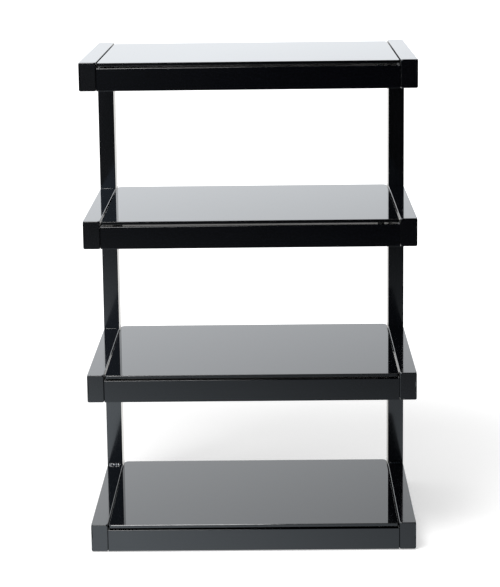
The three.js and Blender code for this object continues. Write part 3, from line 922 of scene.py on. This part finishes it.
for side, sign in SIDES.items():
    for level in LEVELS:
        cad = f"side_rail_{side}_{level}"
        holes = [middle_of(f"{place}_rail_{level}").y for place in PLACES]
        tube = side_rail(*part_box(cad), sign, holes)
        piece(f"tube_{cad}", tube, LACQUER, "frame", cad)
    for bay_index, bay in enumerate(BAYS):
        cad = f"post_{side}_{bay}"
        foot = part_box(f"side_rail_{side}_{LEVELS[bay_index]}")[1].z
        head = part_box(f"side_rail_{side}_{LEVELS[bay_index + 1]}")[0].z
        low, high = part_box(cad)
        # the post's own box also holds its weld beads, so its front is measured from its rear
        rear = high.y
        front = rear - POST_DEPTH
        x = (low.x + high.x) / 2
        half_x, half_y = (high.x - low.x) / 2, (rear - front) / 2
        profile = edge_profile(POST_END_EDGE, EDGE_STEPS)
        bar = closed_bar(half_x, half_y, foot, head, POST_CORNER, profile, ALONG_Z)
        bar = moved(bar, (x, (front + rear) / 2, 0))
        piece(f"tube_{cad}", bar, POST_LACQUER, "frame", cad)
        for end, z, over in (("foot", foot, False), ("head", head, True)):
            rough = bay == "bottom" and end == "foot"
            kind = ROUGH_BEAD if rough else DRESSED_BEAD
            seed = BEAD_SEED + 100 * bay_index + 10 * (sign + 1) + over
            bead = moved(weld_bead(**kind, seed=seed, upside_down=over), (x, front, z))
            # the rough bead at the left has a more reflective coat than the others
            finish = BEAD_LACQUER if rough and sign < 0 else LACQUER
            piece(f"weld_{side}_{bay}_{end}", bead, finish, "frame", cad)

# Ends of the cross rails: a deep narrow wedge is left beside the side rail
SEAM = [(SEAM_DEPTH, 0.0), (SEAM_EDGE, SEAM_MOUTH), (0.0, SEAM_MOUTH + SEAM_EDGE)]

for level in LEVELS:
    # the rear rail's own box also holds its pads, so both rails take their section from the front one
    (_, _, z), (_, half_y, half_z) = spans(*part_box(f"front_rail_{level}"))
    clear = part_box(f"side_rail_right_{level}")[0].x - SEAM_GAP
    for place in PLACES:
        cad = f"{place}_rail_{level}"
        (_, y, _), _ = spans(*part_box(cad))
        bar = closed_bar(half_y, half_z, -clear, clear, TUBE_CORNER, SEAM, ALONG_X)
        piece(f"tube_{cad}", moved(bar, (0, y, z)), LACQUER, "frame", cad)
    cad = f"glass_shelf_{level}"
    piece(f"plate_{cad}", glass_plate(*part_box(cad)), GLASS, f"glass_{level}", cad)
    for side in SIDES:
        cad = f"glass_pad_{side}_{level}"
        low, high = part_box(cad)
        (x, front_y, _), (radius, _, _) = spans(low, high)
        cushion = round_pad(radius, high.z - low.z)
        pad = moved(cushion, (x, front_y, low.z))
        piece(f"soft_{cad}", pad, RUBBER, "frame", cad)
        cad = f"rear_rail_{level}"
        (_, rear_y, _), _ = spans(*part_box(cad))
        pad = moved(cushion, (x, rear_y, low.z))
        piece(f"soft_glass_pad_rear_{side}_{level}", pad, RUBBER, "frame", cad)

for side, sign in SIDES.items():
    for place in PLACES:
        for level in LEVELS:
            cad = f"rail_bolt_{place}_{side}_{level}"
            low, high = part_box(cad)
            (_, y, z), _ = spans(low, high)
            seat = high.x - BOLT_HEAD_HEIGHT if sign > 0 else low.x + BOLT_HEAD_HEIGHT
            bolt = moved(socket_bolt(sign, high.x - low.x - BOLT_HEAD_HEIGHT), (seat, y, z))
            piece(f"socket_{cad}", bolt, ZINC, "frame", cad)
        cad = f"foot_{place}_{side}"
        low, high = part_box(cad)
        (x, y, _), (radius, _, _) = spans(low, high)
        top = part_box(f"side_rail_{side}_bottom")[0].z - FOOT_GAP
        foot = moved(levelling_foot(radius, top, high.z), (x, y, 0))
        piece(f"threaded_{cad}", foot, NYLON, f"foot_body_{place}_{side}", cad)
        cad = f"foot_nut_{place}_{side}"
        low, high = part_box(cad)
        (x, y, _), _ = spans(low, high)
        nut = moved(weld_nut(high.z - low.z), (x, y, low.z))
        piece(f"welded_{cad}", nut, ZINC, "frame", cad)


# Floor, backdrop and light

def make_floor_material():
    """Pale floor: white to the camera save for the object's shadow, which a painted glow growing to the
    right of the rack lightens there. Mirror-like faces see it lit round the rack and dark under it. Ahead
    of the rack it fades by e ** -(distance / step) ** power and from the left to the right by e ** -(rate
    x), far to the left it is dark, and behind it is white."""
    made = bpy.data.materials.new("studio_floor")
    made.use_nodes = True
    tree = made.node_tree
    tree.nodes.clear()
    place = node(tree, "ShaderNodeTexCoord").outputs["Object"]
    split = node(tree, "ShaderNodeSeparateXYZ", Vector=place)
    x, y = split.outputs["X"], split.outputs["Y"]
    away = node(tree, "ShaderNodeVectorMath", {"operation": "LENGTH"}, _0=place).outputs["Value"]
    ray = node(tree, "ShaderNodeLightPath")
    glossy_ray = ray.outputs["Is Glossy Ray"]
    plain = node(tree, "ShaderNodeBsdfDiffuse", Color=FLOOR_TONE)
    right = math_node(tree, "MAXIMUM", math_node(tree, "SUBTRACT", x, HALF_WIDTH), 0.0)
    lift = ramp(tree, away, *GLOW_BY_DISTANCE)
    # painted light: a glow that grows to the right of the rack lightens its shadow there
    lift = math_node(tree, "ADD", lift, product(tree, right, GLOW_TO_RIGHT))
    seen = product(tree, ray.outputs["Is Camera Ray"], lift)
    glow = node(tree, "ShaderNodeEmission", Color=(*WHITE, 1.0), Strength=seen)
    lit = node(tree, "ShaderNodeAddShader", _0=plain.outputs[0], _1=glow.outputs[0])
    ahead = math_node(tree, "MAXIMUM", product(tree, y, -1.0), 0.0)
    steps = math_node(tree, "DIVIDE", ahead, FRONT_STEP)
    fade = decay(tree, math_node(tree, "POWER", steps, FRONT_POWER), 1.0)
    fade = math_node(tree, "ADD", product(tree, fade, FRONT_LIGHT), FRONT_LEAST)
    front = math_node(tree, "MULTIPLY", fade, decay(tree, x, FADE_TO_RIGHT), clamp=True)
    front = product(tree, front, ramp(tree, x, *FAR_LEFT))
    behind = ramp(tree, y, *BEHIND_RACK)
    past_side = math_node(tree, "SUBTRACT", size_of(tree, x), HALF_WIDTH)
    past_end = math_node(tree, "SUBTRACT", size_of(tree, y), HALF_DEPTH)
    outside = ramp(tree, math_node(tree, "MAXIMUM", past_side, past_end), *UNDER_RACK)
    tint = blend_colours(tree, ramp(tree, y, *COOL_TO_WARM), FLOOR_COOL, FLOOR_WARM)
    bright = product(tree, math_node(tree, "MAXIMUM", front, behind), outside)
    mirror = node(tree, "ShaderNodeEmission", Color=tint, Strength=bright)
    mixed = node(tree, "ShaderNodeMixShader", Fac=glossy_ray, _1=lit.outputs[0], _2=mirror.outputs[0])
    node(tree, "ShaderNodeOutputMaterial", Surface=mixed.outputs[0])
    return made


def make_world():
    """White round the camera's view; soft grey light for plain surfaces; for mirror-like faces a
    white backdrop behind the rack, brightest low down, and a dark studio in front. In a direction
    (x, y, z) its brightness is back * fade ** |z| * (level - fall |z| - x (lean + rise |z|))."""
    world = bpy.data.worlds.new("studio")
    bpy.context.scene.world = world
    world.use_nodes = True
    tree = world.node_tree
    tree.nodes.clear()
    way = node(tree, "ShaderNodeTexCoord").outputs["Generated"]
    split = node(tree, "ShaderNodeSeparateXYZ", Vector=way)
    x, y = split.outputs["X"], split.outputs["Y"]
    rise = size_of(tree, split.outputs["Z"])
    ray = node(tree, "ShaderNodeLightPath")
    glossy_ray = ray.outputs["Is Glossy Ray"]
    back = ramp(tree, y, *FRONT_TO_BACK, ramp(tree, x, *STUDIO_FRONT), 1.0)
    height = math_node(tree, "POWER", HEIGHT_FADE, rise)
    steeper = math_node(tree, "ADD", product(tree, rise, SIDE_LEAN_RISE), SIDE_LEAN)
    level = math_node(tree, "SUBTRACT", LEVEL_LIGHT, product(tree, rise, LEVEL_FALL))
    lean = math_node(tree, "SUBTRACT", level, product(tree, x, steeper))
    mirror = math_node(tree, "MULTIPLY", product(tree, back, height), lean, clamp=True)
    glossy = node(tree, "ShaderNodeMix", {"data_type": "FLOAT"}, Factor=glossy_ray, A=PLAIN_LIGHT, B=mirror)
    strength = math_node(tree, "MAXIMUM", glossy.outputs[0], ray.outputs["Is Camera Ray"])
    strength = math_node(tree, "MAXIMUM", strength, ray.outputs["Is Transmission Ray"])
    cool = blend_colours(tree, ramp(tree, y, *FRONT_TO_BACK), STUDIO_COOL, STUDIO_WHITE)
    tint = blend_colours(tree, glossy_ray, WHITE, cool)
    shade = node(tree, "ShaderNodeBackground", Color=tint, Strength=strength)
    node(tree, "ShaderNodeOutputWorld", Surface=shade.outputs[0])


def add_floor():
    """A flat square of floor at zero height: point = (x, y, 0)."""
    signs = ((-1, -1), (1, -1), (1, 1), (-1, 1))
    mesh = bpy.data.meshes.new("floor")
    mesh.from_pydata([(a * FLOOR_REACH, b * FLOOR_REACH, 0) for a, b in signs], [], [(0, 1, 2, 3)])
    mesh.materials.append(make_floor_material())
    floor = bpy.data.objects.new("floor", mesh)
    bpy.context.scene.collection.objects.link(floor)


def add_softbox(name, place, aim, size, watts):
    """A rectangular area lamp that faces a point."""
    data = bpy.data.lights.new(name, "AREA")
    data.shape = "RECTANGLE"
    data.size, data.size_y = size
    data.energy = watts
    lamp = bpy.data.objects.new(name, data)
    lamp.location = place
    lamp.rotation_euler = (Vector(aim) - Vector(place)).to_track_quat("-Z", "Y").to_euler()
    bpy.context.scene.collection.objects.link(lamp)


def add_camera():
    """The photograph's camera: place and turn fitted to the rack's edges."""
    data = bpy.data.cameras.new("camera")
    data.lens = CAMERA_LENS
    data.sensor_width = CAMERA_SENSOR
    data.sensor_fit = "AUTO"
    camera = bpy.data.objects.new("camera", data)
    right, up, ahead = (Vector(v) for v in (CAMERA_RIGHT, CAMERA_UP, CAMERA_AHEAD))
    turn = Matrix((right, up, -ahead)).transposed().to_4x4()
    camera.matrix_world = Matrix.Translation(CAMERA_PLACE) @ turn
    bpy.context.scene.collection.objects.link(camera)
    bpy.context.scene.camera = camera


add_floor()
make_world()
add_softbox("key", place=(-0.70, -1.25, 2.35), aim=(-0.25, -0.35, 0.3), size=(1.15, 1.2), watts=42.0)
add_softbox("side", place=(-2.0, -0.9, 0.5), aim=(-0.28, 0.17, 0.1), size=(0.25, 0.25), watts=1.6)
add_camera()
bpy.context.scene.view_settings.view_transform = "Standard"

bpy.context.view_layer.update()
